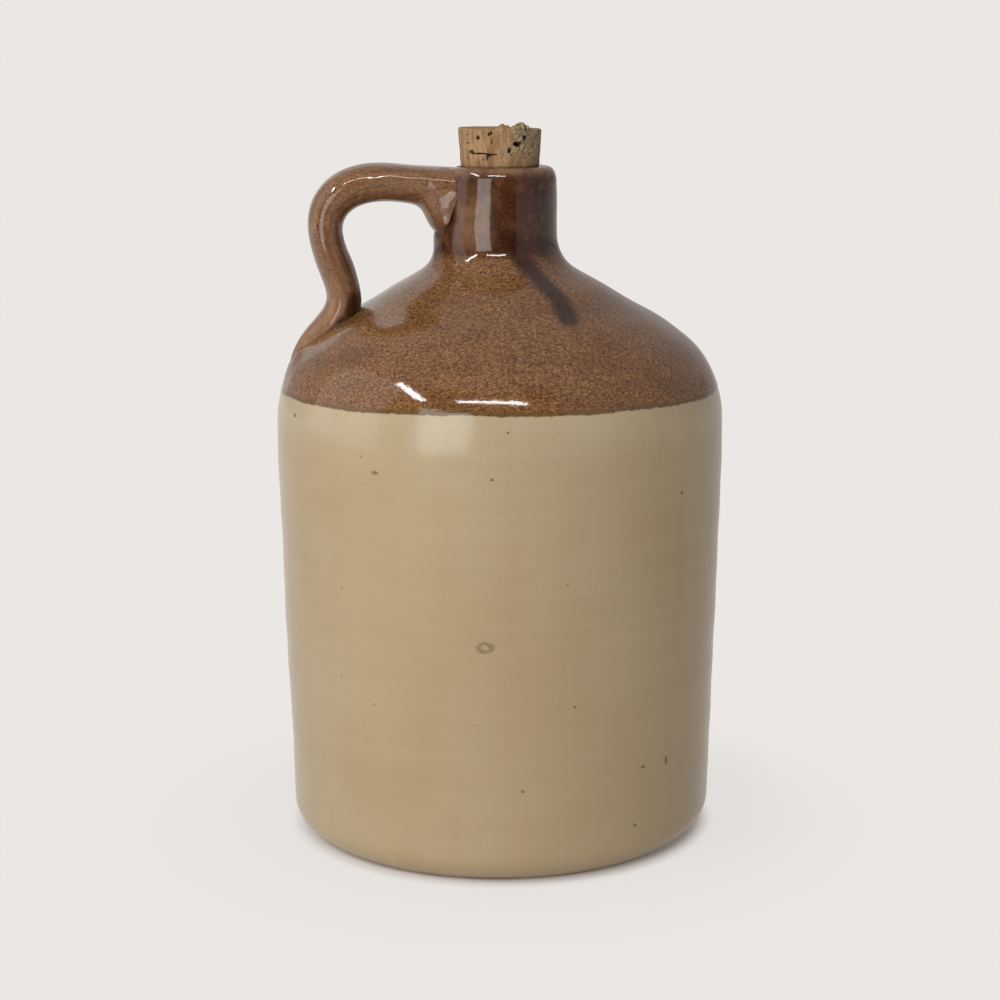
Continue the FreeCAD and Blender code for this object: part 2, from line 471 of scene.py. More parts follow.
@dataclass(frozen=True)
class TwoToneGlaze:
    """Stoneware under a fired glass glaze: iron-brown slip glaze on top, clear glaze over buff clay below.

    The glass gives a sharp, weak reflection over a full-bodied colour. The iron glaze breaks into fine
    dark flecks where it is thin on the shoulder, and runs darker and plainer on the neck and handle.

    Attributes:
        fleck_mm: Size of the flecks in the iron glaze.
        ring_mm: Height of the turning rings that show through the clear glaze.
        speck_mm: Distance between the fine iron specks.
        plain_from: Heights above the glaze's edge between which the iron glaze turns plain, in mm.
        ragged_mm: How far the glaze's edge frays.
        blemishes: The larger marks on the clear glaze.
    """

    brown: str = "7c5535"
    brown_light: str = "a47a51"
    brown_fleck: str = "47280f"
    brown_thick: str = "401e12"
    brown_thin: str = "9a7355"
    # Dark streaks in the thick glaze, and the painted dark reflection on the shoulder.
    brown_streak_and_reflection: str = "230f07"
    seam: str = "65502f"
    tan: str = "b5a07d"
    tan_light: str = "c2b194"
    tan_deep: str = "ab9169"
    speck: str = "6b5432"
    fleck_mm: float = 0.72
    ring_mm: float = 3.2
    speck_mm: float = 9.0
    plain_from: tuple[float, float] = (49.5, 54.5)
    ragged_mm: float = 1.6
    blemishes: tuple[Blemish, ...] = (
        Blemish(-13.4, 94.3, 3.5, 2.2, Mark.RING), Blemish(-52.6, 158.3, 1.5, 0.9),
        Blemish(48.4, 41.2, 1.3, 0.9), Blemish(58.7, 41.0, 1.0, 2.0), Blemish(20.5, 69.9, 0.9, 0.8),
        Blemish(0.7, 37.7, 1.0, 0.8), Blemish(45.3, 18.3, 1.0, 0.8), Blemish(-10.6, 157.9, 0.9, 0.7),
        Blemish(-4.6, 175.1, 0.7, 0.6), Blemish(-81.7, 174.3, 0.9, 1.0), Blemish(63.9, 146.3, 0.8, 1.1),
    )

    def brown_colour(self, nodes: Nodes, above: Socket) -> Socket:
        """Iron glaze: flecked below, plain and dark above, pale where it ran thin over an edge, with a
        painted dark reflection streaked down the shoulder.

        Args:
            nodes: The glaze's tree.
            above: Height above the glaze's edge, in millimetres.

        Returns:
            Its colour.
        """
        fleck = nodes.cloud(self.fleck_mm, 4.0, 0.7, (1.7, 1.7, 1.0))
        fine = nodes.cloud(self.fleck_mm * 0.55, 2.0, 0.6)
        both = nodes.add("Mix", {0: 0.35, 2: fleck, 3: fine})
        flecked = nodes.add("ValToRGB", (both,), stops=[
            (0.41, self.brown_fleck), (0.47, self.brown), (0.52, self.brown), (0.58, self.brown_light),
        ])
        # Painted dark reflection: a streak down the shoulder that reads plain and darker, standing in for a
        # dark shape mirrored in the glaze.
        run = nodes.add("Attribute", take="Fac", attribute_name="glaze_run")
        high = nodes.add("MapRange", (above, *self.plain_from), **SOFT)
        plain = nodes.add("Math", (high, run), operation="MAXIMUM")
        streaks = Coat(self.brown_streak_and_reflection, 5.0, (0.40, 0.65), 1.0, 3.0, 0.6, (1.0, 1.0, 7.0))
        thick = streaks.over(nodes, self.brown_thick)
        thick = nodes.coat(thick, self.brown, fleck, 0.14, (0.42, 0.62))
        thick = Coat(self.brown, 6.0, (0.48, 0.72), 0.4, 3.0, 0.6).over(nodes, thick)
        # Painted dark reflection: darker along the streak.
        thick = nodes.coat(thick, self.brown_streak_and_reflection, run, 0.6)
        colour = nodes.coat(flecked, thick, plain, 0.95)
        clouds = Coat(self.brown_thick, 9.0, (0.40, 0.70), 0.28, 3.0, 0.55, (3.0, 3.0, 1.0))
        colour = clouds.over(nodes, colour)
        thin = nodes.add("Attribute", take="Fac", attribute_name="thin_glaze")
        patchy = nodes.add("MapRange", (nodes.cloud(4.0), 0.3, 0.6, 0.5, 1.0), **SOFT)
        thin = nodes.add("Math", (thin, patchy), operation="MULTIPLY")
        return nodes.coat(colour, self.brown_thin, thin)

    def tan_colour(self, nodes: Nodes, above: Socket) -> Socket:
        """Clear glaze over buff clay: cloudy, faintly streaked, with turning rings and a fine grain.

        Args:
            nodes: The glaze's tree.
            above: Height above the glaze's edge, in millimetres.

        Returns:
            Its colour.
        """
        colour = Coat(self.tan_deep, 55.0, (0.35, 0.65), 0.4, 3.0).over(nodes, self.tan)
        colour = nodes.coat(colour, self.tan_light, above, 0.55, (-22.0, -3.0))
        streaks = Coat(self.tan_deep, 13.0, (0.45, 0.70), 0.18, 3.0, 0.55, (1.0, 1.0, 6.0))
        rings = Coat(self.tan_light, self.ring_mm, (0.40, 0.70), 0.09, 2.0, 0.6, (40.0, 40.0, 1.0))
        grain = Coat(self.tan_deep, 1.0, (0.52, 0.75), 0.30, 2.0, 0.7)
        for layer in (streaks, rings, grain):
            colour = layer.over(nodes, colour)
        return colour

    def specks(self, nodes: Nodes) -> Socket:
        """Fine iron specks scattered over the clear glaze, and the larger marks.

        A spot covers where the distance from its middle, in its own sizes and with a wobble added, is
        below about 1.1, and a ring where that is near 1.1. Both are fainter on the back.

        Args:
            nodes: The glaze's tree.

        Returns:
            Share of the specks' colour.
        """
        grid = {"Vector": nodes.place, "Scale": per_metre(self.speck_mm)}
        cell = nodes.add("TexVoronoi", grid, "Distance")
        draw = nodes.add("SeparateColor", (cell.node.outputs["Color"],))
        keep = nodes.add("MapRange", (draw, 0.60, 0.62), **SOFT)
        dot = nodes.add("MapRange", (cell, 0.035, 0.055, 0.75, 0.0), **SOFT)
        mask = nodes.add("Math", (dot, keep), operation="MULTIPLY")
        wobble = nodes.add("Math", (nodes.cloud(1.6), 0.8), operation="MULTIPLY")
        ring_at, ring_half = 1.1, 0.3
        start, stop = 0.95, 1.35
        for mark in self.blemishes:
            scale = (per_metre(mark.width), 0.0, per_metre(mark.height))
            middle = (mark.x / mark.width, 0.0, mark.z / mark.height)
            flat = nodes.add("VectorMath", (nodes.place, scale), operation="MULTIPLY")
            away = nodes.add("VectorMath", (flat, middle), "Value", operation="DISTANCE")
            away = nodes.add("Math", (away, wobble), operation="ADD")
            if mark.shape is Mark.RING:
                away = nodes.add("Math", (away, ring_at), operation="SUBTRACT")
                away = nodes.add("Math", (away,), operation="ABSOLUTE")
                away = nodes.add("Math", (away, (start + stop) / 2 - ring_half), operation="ADD")
            spot = nodes.add("MapRange", (away, start, stop, mark.shape.value, 0.0), **SOFT)
            mask = nodes.add("Math", (mask, spot), operation="MAXIMUM")
        depth = nodes.add("SeparateXYZ", (nodes.place,), "Y")
        front = nodes.add("MapRange", (depth, -0.01, 0.01, 1.0, 0.55), **SOFT)
        return nodes.add("Math", (mask, front), operation="MULTIPLY")

    def build(self) -> bpy.types.Material:
        """Make the glaze.

        Returns:
            A material that reads the fields above_seam, in millimetres, and thin_glaze and glaze_run, 0 to 1;
            the last is a painted dark reflection.
        """
        material, nodes = new_material("two_tone_stoneware_glaze")
        height = nodes.add("Attribute", take="Fac", attribute_name="above_seam")
        fray = nodes.add("Math", (nodes.cloud(3.0, 3.0, 0.6), 0.5), operation="SUBTRACT")
        above = nodes.add("Math", (fray, self.ragged_mm, height), operation="MULTIPLY_ADD")
        specks = self.specks(nodes)
        lower = nodes.coat(self.tan_colour(nodes, above), self.speck, specks)
        colour = nodes.coat(lower, self.brown_colour(nodes, above), above, 1.0, (-0.15, 0.15))
        start = nodes.add("MapRange", (above, -0.5, 0.1), **SOFT)
        stop = nodes.add("MapRange", (above, 0.9, 2.2, 1.0, 0.0), **SOFT)
        line = nodes.add("Math", (start, stop), operation="MULTIPLY")
        colour = nodes.coat(colour, self.seam, line, 0.7)
        # The clear glaze is a little less glassy than the iron glaze.
        rough = nodes.add("MapRange", (above, -0.3, 0.3, 0.17, 0.075), **SOFT)
        skin = nodes.add("Math", (nodes.cloud(1.2), 0.12, nodes.cloud(7.0)), operation="MULTIPLY_ADD")
        skin = nodes.add("Math", (specks, -0.6, skin), operation="MULTIPLY_ADD")
        bump = nodes.add("Bump", {"Strength": 0.14, "Distance": 0.0005, "Height": skin})
        shader = nodes.add("BsdfPrincipled", {
            "Base Color": colour, "Roughness": rough, "IOR": 1.5, "Normal": bump,
        })
        nodes.add("OutputMaterial", {"Surface": shader})
        return material


@dataclass(frozen=True)
class WipedFoot:
    """Bare fired stoneware where the glaze was wiped off the foot: dry, matt and slightly toasted."""

    clay: str = "b39a78"
    toasted: str = "8c6c49"

    def build(self) -> bpy.types.Material:
        """Make the bare clay.

        Returns:
            Its material.
        """
        material, nodes = new_material("wiped_stoneware_foot")
        colour = Coat(self.toasted, 14.0, (0.40, 0.65), 1.0, 4.0, 0.6).over(nodes, self.clay)
        colour = Coat(self.toasted, 0.9, (0.58, 0.70), 0.5).over(nodes, colour)
        grit = nodes.cloud(0.8, 4.0, 0.7)
        bump = nodes.add("Bump", {"Strength": 0.5, "Distance": 0.0004, "Height": grit})
        shader = nodes.add("BsdfPrincipled", {
            "Base Color": colour, "Roughness": 0.85, "IOR": 1.5, "Normal": bump,
        })
        nodes.add("OutputMaterial", {"Surface": shader})
        return material


@dataclass(frozen=True)
class NaturalCork:
    """Punched natural cork: dry, warm bark with upright growth streaks, dark pores and cracks, and painted
    shade where it enters the neck.
    """

    bark: str = "a8825a"
    pale: str = "c3a27a"
    deep: str = "7f5836"
    pore: str = "2e1a0e"
    weathered: str = "8f8468"
    crumb_pale: str = "bfae8a"
    crumb_deep: str = "5a4c33"

    def build(self) -> bpy.types.Material:
        """Make the cork.

        Returns:
            A material that reads the fields pore and weathered, each from 0 to 1. The first also holds
            painted shade where the cork enters the neck.
        """
        material, nodes = new_material("natural_cork")
        pore = nodes.add("Attribute", take="Fac", attribute_name="pore")
        weathered = nodes.add("Attribute", take="Fac", attribute_name="weathered")
        streaks = Coat(self.pale, 2.0, (0.35, 0.65), 1.0, 3.0, 0.6, (1.0, 1.0, 7.0))
        colour = streaks.over(nodes, self.deep)
        colour = nodes.add("Mix", {0: 0.45, 6: colour, 7: self.bark}, 2, data_type="RGBA")
        colour = Coat(self.deep, 0.8, (0.50, 0.72), 0.7, 3.0, 0.7).over(nodes, colour)
        crumb = Coat(self.crumb_pale, 1.1, (0.42, 0.60), 1.0, 2.0, 0.7).over(nodes, self.crumb_deep)
        crumb = nodes.add("Mix", {0: 0.35, 6: crumb, 7: self.weathered}, 2, data_type="RGBA")
        colour = nodes.coat(colour, crumb, weathered, 0.8)
        # Dark pores and cracks, and painted shade where the cork enters the neck.
        colour = nodes.coat(colour, self.pore, pore)
        grain = nodes.cloud(0.7, 4.0, 0.7)
        bump = nodes.add("Bump", {"Strength": 0.6, "Distance": 0.0005, "Height": grain})
        shader = nodes.add("BsdfPrincipled", {
            "Base Color": colour, "Roughness": 0.8, "IOR": 1.4, "Normal": bump,
        })
        nodes.add("OutputMaterial", {"Surface": shader})
        return material


# ---------------------------------------------------------------- the jug


@dataclass
class Press:
    """A low hump or hollow left by the potter's hand.

    Attributes:
        degrees: Its middle's angle around the axis, from +X.
        height: Its middle's height, in millimetres, as are the next three.
        across: Its half width around the form.
        along: Its half height.
        rise: How far it stands out, or in where it is below 0.
    """

    degrees: float
    height: float
    across: float
    along: float
    rise: float

    def lift(self, angle: Array, z: Array, radius: Array) -> Array:
        """Gaussian hump, rise * exp(-(arc / across)^2 - ((z - height) / along)^2).

        Args:
            angle: Angle of each point around the axis, in radians.
            z: Its height.
            radius: Its distance from the axis.

        Returns:
            How far each point is lifted, in millimetres.
        """
        turn = (np.degrees(angle) - self.degrees + 180.0) % 360.0 - 180.0
        arc = np.radians(turn) * radius
        return self.rise * np.exp(-((arc / self.across) ** 2) - ((z - self.height) / self.along) ** 2)


@dataclass
class ThrownBody:
    """The thrown jug without its handle: foot, wall, shoulder, neck, rim and the mouth's upper inside.

    Attributes:
        foot_radius: Radius at the start of the foot's rounded edge.
        mouth_radius: Radius of the mouth's bore at the rim.
        mouth_depth: How deep the bore goes.
        seam_height: Height of the brown glaze's edge.
        seam_lean: How far that edge rises towards the back. Below 0 it dips there.
        seam_waves: The edge's waver: size, number of waves around, and start angle of each part.
        around: Number of points around the form.
        presses: Humps and hollows left by the hand.
        hollow_fill: How much fuller the hollow at the neck's base is than one arc: size, height, reach.
        reflection_heights: Heights along the painted dark reflection, a dark streak down the shoulder, from
            its end upwards.
        reflection_degrees: Its angles around the axis at those heights.
        reflection_width: Its half width.
    """

    foot_radius: float = 76.6
    mouth_radius: float = 15.75
    mouth_depth: float = 23.0
    seam_height: float = 179.6
    seam_lean: float = -1.1
    seam_waves: tuple[tuple[float, float, float], ...] = (
        (0.35, 3.0, 0.6), (0.22, 7.0, 2.0), (0.12, 17.0, 0.0),
    )
    around: int = 432
    presses: tuple[Press, ...] = (
        Press(228.0, 247.0, 6.0, 9.0, 0.35),
        Press(158.0, 267.0, 12.0, 6.0, -0.9),
        Press(180.0, 239.0, 13.0, 8.0, 2.6),
        Press(180.0, 194.0, 10.0, 9.0, 1.6),
        Press(203.0, 207.0, 10.0, 4.0, 0.7),
        Press(214.0, 211.0, 9.0, 4.0, -0.5),
        Press(238.0, 222.0, 0.9, 4.5, 0.4),
        Press(243.0, 218.5, 0.8, 3.0, 0.3),
        Press(158.0, 205.0, 12.0, 7.0, 0.6),
    )
    hollow_fill: tuple[float, float, float] = (1.35, 221.3, 5.8)
    reflection_heights: tuple[float, ...] = (209.4, 211.5, 218.5, 225.0, 231.0, 241.0)
    reflection_degrees: tuple[float, ...] = (292.0, 293.5, 296.0, 293.5, 287.5, 276.0)
    reflection_width: float = 5.2

    def outline(self) -> tuple[Array, Array]:
        """Half section from the foot's middle, up the outside, over the rim and down to the mouth's floor.

        Runs are lengths and arcs are a radius and degrees of turn. The steps are short where the form
        bends quickly and across the glaze's edge.

        Returns:
            Points and normals, each as radius and height.
        """
        line = Outline(0.0, 0.0, 0.0)
        # The flat it stands on.
        line.run(self.foot_radius - 0.4, 12.0)
        # The foot's rounded edge.
        line.turn(1.2, 36.0, 0.25)
        # Bevel.
        line.run(3.8, 1.0)
        # Heel.
        line.turn(11.6, 52.22, 1.1)
        # Wall, which widens upwards by 1.8 degrees.
        line.run(115.2, 2.6)
        # Belly.
        line.turn(1108.0, 1.78, 2.6)
        line.turn(129.4, 4.4, 1.6)
        # Shoulder, with short steps across the glaze's edge.
        line.turn(41.5, 22.0, 0.55)
        line.turn(41.5, 22.8, 1.4)
        line.turn(82.5, 13.2, 1.9)
        # Straight part of the shoulder.
        line.run(21.88, 2.0)
        # Hollow that sweeps up into the neck.
        line.turn(59.3, -10.9, 1.6)
        line.turn(17.7, -50.72, 0.9)
        # Neck, which narrows upwards by 0.8 degrees.
        line.run(21.15, 1.5)
        # The rim's rounded outer edge.
        line.turn(9.0, 25.0, 0.6)
        line.turn(3.2, 64.2, 0.35)
        # Top of the rim.
        line.run(float(line.place[0]) - self.mouth_radius - 0.9, 0.5)
        # The mouth's edge.
        line.turn(0.9, 94.0, 0.3)
        # The mouth's bore, which widens downwards by 4 degrees. The cork hides it.
        line.run(self.mouth_depth, 3.0)
        # Its floor.
        line.heading = 180.0
        line.run(float(line.place[0]) - 1.0, 4.0)
        return line.sampled()

    def columns(self) -> Array:
        """Angles around the axis, packed closer at the handle's side: pi + a - 0.5 sin(a)."""
        even = np.linspace(0.0, 2.0 * math.pi, self.around, endpoint=False)
        return math.pi + even - 0.5 * np.sin(even)

    def above_seam(self, angle: Array, z: Array) -> Array:
        """Height above the brown glaze's edge, which dips and wavers as the jug was dipped by hand.

        Args:
            angle: Angle of each point around the axis.
            z: Its height.

        Returns:
            z - edge - lean * sin(a) - the sum of size * sin(waves * a + start).
        """
        lean = self.seam_lean * np.sin(angle)
        waver = sum(size * np.sin(waves * angle + start) for size, waves, start in self.seam_waves)
        return z - self.seam_height - lean - waver

    def glaze_run(self, points: Array, angle: Array) -> Array:
        """Share of the painted dark reflection, a dark streak from the neck down the shoulder, 1 along its
        middle line.

        It falls off with the distance aside from that line, in half widths, joined with the distance
        below the line's end.

        Args:
            points: Points of the form.
            angle: Their angles around the axis.

        Returns:
            The share at each point.
        """
        z, radius = points[..., 2], np.hypot(points[..., 0], points[..., 1])
        line = np.interp(z, self.reflection_heights, self.reflection_degrees)
        aside = np.radians(np.degrees(angle) % 360.0 - line) * radius / self.reflection_width
        beyond = np.maximum(self.reflection_heights[1] - z, 0.0) / 2.4
        return smoothstep(1.45, 0.35, np.hypot(aside, beyond)) * smoothstep(246.0, 240.0, z)

    def relief(self, points: Array, angle: Array, above: Array) -> Array:
        """Rise of the surface: slow unevenness, turning rings, the glaze's rolled edge and hand presses.

        The rings are sines of the height, 12 mm apart round the neck's base and 21 mm on the wall.

        Args:
            points: Points of the form.
            angle: Their angles around the axis.
            above: Their heights above the glaze's edge.

        Returns:
            How far each point moves outwards, in millimetres.
        """
        z, radius = points[..., 2], np.hypot(points[..., 0], points[..., 1])
        rise = 0.30 * value_noise(points, 42.0, 3) + 0.10 * value_noise(points, 16.0, 5)
        fill, middle, reach = self.hollow_fill
        rise += fill * bell(z, middle, reach)
        rise += 0.06 * np.sin(z / 1.9 + 0.4 * np.sin(angle)) * bell(z, 215.0, 22.0)
        rise += 0.07 * np.sin(z / 3.3 + 0.5 * np.sin(2.0 * angle)) * smoothstep(8.0, 30.0, z)
        rise += 0.16 * smoothstep(-0.4, 0.4, above) + 0.03 * bell(above, 0.4, 0.4)
        for press in self.presses:
            rise += press.lift(angle, z, radius)
        # The foot stays flat, and the mouth keeps its bore.
        inside = (radius < self.mouth_radius + 1.0) & (z > 200.0)
        return np.where(inside, 0.0, rise * smoothstep(0.5, 9.0, z))

    def thin_glaze(self, points: Array, angle: Array) -> Array:
        """Share by which the brown glaze is thin and pale, on the rim's edge and on the neck by the handle.

        Args:
            points: Points of the form.
            angle: Their angles around the axis.

        Returns:
            The share at each point.
        """
        z, radius = points[..., 2], np.hypot(points[..., 0], points[..., 1])
        edge = 0.75 * bell(radius, 21.0, 1.7) * smoothstep(262.0, 265.5, z)
        left = bell(np.degrees(angle) % 360.0, 238.0, 20.0) * smoothstep(232.0, 240.0, z)
        return np.maximum(edge, 0.42 * left * smoothstep(262.0, 250.0, z) + 0.12 * left)

    def build(self, glaze: bpy.types.Material, foot: bpy.types.Material) -> bpy.types.Object:
        """Revolve the outline, lift it by its relief along the normals, and dress it.

        Args:
            glaze: Finish of all but the foot.
            foot: Finish of the flat the jug stands on.

        Returns:
            The body.
        """
        line, normal = self.outline()
        angle = self.columns()[None, :]
        ring = np.stack([np.cos(angle), np.sin(angle)], axis=-1)
        flat = line[:, None, :1] * ring
        height = np.broadcast_to(line[:, None, 1:], (*flat.shape[:2], 1))
        points = np.concatenate([flat, height], axis=-1)
        up = np.broadcast_to(normal[:, None, 1:], height.shape)
        outward = np.concatenate([normal[:, None, :1] * ring, up], axis=-1)
        turned = np.broadcast_to(angle, points.shape[:2])
        above = self.above_seam(turned, points[..., 2])
        points = points + self.relief(points, turned, above)[..., None] * outward
        poles = np.array([[0.0, 0.0, 0.0], [0.0, 0.0, line[-1, 1]]])
        # Painted dark reflection: a dark streak down the shoulder, where the glaze does not read thin.
        run = self.glaze_run(points, turned)
        thin = self.thin_glaze(points, turned) * (1.0 - run)
        fields = {"above_seam": above, "thin_glaze": thin, "glaze_run": run}
        body = Tube("thrown_body", points, poles[0], poles[1], fields).build()
        body.data.materials.append(glaze)
        body.data.materials.append(foot)
        centre = np.empty(len(body.data.polygons) * 3)
        body.data.polygons.foreach_get("center", centre)
        # The glaze was wiped off the flat and the start of its rounded edge.
        below = centre.reshape(-1, 3)[:, 2] < 0.7 * MM
        body.data.polygons.foreach_set("material_index", below.astype(np.int32))
        return body


@dataclass
class PulledStrap:
    """The pulled strap handle, from its root on the neck to the tail pressed along the shoulder.

    Attributes:
        stations: Each holds the outer edge (x, z), the inner edge (x, z), half the width of the strap,
            and how far its widest line lies from the middle towards the outer edge, as a share of half
            its thickness.
        along: Number of sections.
        around: Number of points around each.
        glaze_height: Height above the glaze's edge that stands for its thickness here: between the
            flecked glaze of the shoulder and the plain one of the neck.
        pool_and_shade_height: How much thicker the glaze reads in the crease under the tail, as such a
            height: partly pooled glaze, partly painted shade.
    """

    stations: tuple[tuple[float, float, float, float, float, float], ...] = (
        (-16.6, 266.2, -21.0, 237.5, 14.6, 0.55),
        (-22.8, 266.8, -27.2, 243.6, 14.2, 0.50),
        (-28.6, 267.0, -30.4, 249.6, 13.2, 0.35),
        (-37.0, 267.6, -36.2, 252.6, 12.4, 0.20),
        (-47.0, 268.4, -44.5, 253.4, 12.2, 0.10),
        (-57.0, 267.2, -52.5, 252.5, 12.2, 0.05),
        (-66.2, 262.8, -58.4, 249.4, 12.2, 0.05),
        (-72.8, 254.8, -61.2, 244.6, 12.2, 0.05),
        (-75.2, 245.0, -61.2, 239.8, 12.2, 0.05),
        (-74.3, 236.6, -60.0, 235.0, 12.2, 0.05),
        (-71.8, 227.6, -57.6, 229.0, 12.2, 0.05),
        (-69.2, 220.4, -55.4, 221.6, 12.2, 0.0),
        (-68.6, 214.6, -54.6, 213.6, 12.2, 0.0),
        (-71.6, 209.4, -57.0, 205.0, 11.6, 0.0),
        (-76.2, 204.0, -62.0, 199.0, 9.4, 0.0),
        (-80.3, 198.0, -67.5, 193.6, 6.2, 0.0),
        (-82.6, 192.6, -73.0, 188.0, 3.6, 0.0),
        (-83.6, 187.6, -78.0, 184.0, 1.4, 0.0),
    )
    along: int = 320
    around: int = 120
    glaze_height: float = 50.8
    pool_and_shade_height: float = 14.0

    def build(self, glaze: bpy.types.Material) -> bpy.types.Object:
        """Carry a flattened oval along the two edges.

        A section's point is middle + n * (w + (1 -+ w) * h(a)) + y * g(a): n runs from the inner to the
        outer edge, w is the widest line's place, and h and g are signed powers of sin and cos, so the
        outer face is the flatter one. Lengthwise furrows left by pulling come from a noise field that
        is stretched along the strap; it also thins the glaze on their crests.

        Args:
            glaze: Finish of the strap.

        Returns:
            The strap.
        """
        edge = cubic_through(np.array(self.stations), self.along)
        outer = np.stack([edge[:, 0], np.zeros(self.along), edge[:, 1]], axis=-1)
        inner = np.stack([edge[:, 2], np.zeros(self.along), edge[:, 3]], axis=-1)
        angle = np.linspace(0.0, 2.0 * math.pi, self.around, endpoint=False)[None, :]
        side = signed_power(np.cos(angle), 0.95)
        through = signed_power(np.sin(angle), np.where(np.sin(angle) > 0, 0.84, 0.92))
        widest = edge[:, 5][:, None]
        across = widest + np.where(through > 0, 1.0 - widest, 1.0 + widest) * through
        middle = ((outer + inner) / 2)[:, None, :]
        half = ((outer - inner) / 2)[:, None, :]
        width = edge[:, 4][:, None, None] * np.array([0.0, 1.0, 0.0])
        points = middle + half * across[..., None] + width * side[..., None]
        walked = np.linalg.norm(np.diff((outer + inner) / 2, axis=0), axis=1)
        walked = np.broadcast_to(np.concatenate([[0.0], np.cumsum(walked)])[:, None], across.shape)
        flow = np.stack([walked / 9.0, across * 6.0, side * 10.0 + 0.0 * across], axis=-1)
        furrow = value_noise(flow, 1.4, 11) + 0.6 * value_noise(flow, 0.7, 12)
        rise = 0.10 * furrow + 0.14 * value_noise(points, 11.0, 13)
        away = points - middle
        points = points + away / np.linalg.norm(away, axis=-1, keepdims=True) * rise[..., None]
        # Painted shade in the crease between the tail and the shoulder, where the glaze also pooled dark.
        z = points[..., 2]
        pool_and_shade = smoothstep(0.1, -0.5, across) * smoothstep(221.0, 211.0, z)
        pool_and_shade = np.maximum(pool_and_shade, smoothstep(0.25, -0.15, across) * smoothstep(212.0, 206.0, z))
        thin = 0.37 + 0.28 * furrow + 0.3 * smoothstep(226.0, 208.0, z) - pool_and_shade
        fields = {
            "above_seam": self.glaze_height + self.pool_and_shade_height * pool_and_shade,
            "thin_glaze": np.clip(thin, 0.0, 1.0),
        }
        ends = (middle[0, 0], middle[-1, 0])
        strap = Tube("pulled_strap", points, ends[0], ends[1], fields).build()
        strap.data.materials.append(glaze)
        return strap


@dataclass
class PressedPad:
    """A thumbed-on pad of clay where the strap's root meets the neck.

    Attributes:
        corners: The pad's corners (x, z), going round anticlockwise.
        ground: A place (x, y) on the surface under it.
        slope: How far that surface falls back, towards +Y, for each millimetre towards -X.
        rise: How far the pad stands out, in millimetres.
        sunk: How far its back lies under the surface.
        around: Number of points around it.
        glaze_height: Height above the glaze's edge that stands for its thickness here: plain, as on the neck.
    """

    corners: tuple[tuple[float, float], ...] = (
        (-26.0, 254.6), (-21.6, 242.6), (-16.2, 258.4), (-22.6, 257.6),
    )
    ground: tuple[float, float] = (-16.6, -15.6)
    slope: float = 0.28
    rise: float = 0.5
    sunk: float = 4.0
    around: int = 72
    glaze_height: float = 66.0

    def surface(self, x: Array | float) -> Array | float:
        """Y of the surface under the pad, which is nearly flat there."""
        return self.ground[1] - self.slope * (x - self.ground[0])

    def build(self, glaze: bpy.types.Material) -> bpy.types.Object:
        """Swell a smooth polygon out of the surface.

        In a direction d from the middle the outline lies at 1 / (sum of max(0, n . d / s)^3)^(1/3), over
        the sides' outward normals n and distances s: the sides stay straight and the corners turn round.
        A ring at share sin(t) of the outline stands out by rise * cos(t).

        Args:
            glaze: Finish of the pad.

        Returns:
            The pad.
        """
        corner = np.array(self.corners)
        centre = corner.mean(axis=0)
        side = np.roll(corner, -1, axis=0) - corner
        normal = np.stack([side[:, 1], -side[:, 0]], axis=-1) / np.linalg.norm(side, axis=1)[:, None]
        away = np.einsum("ij,ij->i", corner - centre, normal)
        angle = np.linspace(0.0, 2.0 * math.pi, self.around, endpoint=False)
        way = np.stack([np.cos(angle), np.sin(angle)], axis=-1)
        gauge = (np.maximum(way @ normal.T / away, 0.0) ** 3).sum(axis=1) ** (1 / 3)
        turn = np.linspace(0.0, math.pi, 26)[1:-1, None]
        flat = centre + np.sin(turn)[..., None] * (way / gauge[:, None])[None]
        depth = np.where(turn < math.pi / 2, self.rise, self.sunk) * np.cos(turn)
        points = np.stack([flat[..., 0], self.surface(flat[..., 0]) - depth, flat[..., 1]], axis=-1)
        points[..., 1] += 0.2 * value_noise(points, 3.5, 41)
        middle = self.surface(centre[0])
        ends = [np.array([centre[0], middle - out, centre[1]]) for out in (self.rise, -self.sunk)]
        thin = np.clip(0.7 + 0.3 * value_noise(points, 2.5, 43), 0.0, 1.0)
        fields = {"above_seam": np.full(thin.shape, self.glaze_height), "thin_glaze": thin}
        pad = Tube("pressed_pad", points, ends[0], ends[1], fields).build()
        pad.data.materials.append(glaze)
        return pad


# ---------------------------------------------------------------- the cork


@dataclass(frozen=True)
class Pore:
    """A hole in the cork's side: degrees around, height above the rim, half sizes and depth."""

    degrees: float
    height: float
    across: float
    tall: float
    depth: float


@dataclass(frozen=True)
class Crumb:
    """A crumb that stands up on the cork's top edge: its middle, half width and height."""

    x: float
    y: float
    size: float
    tall: float


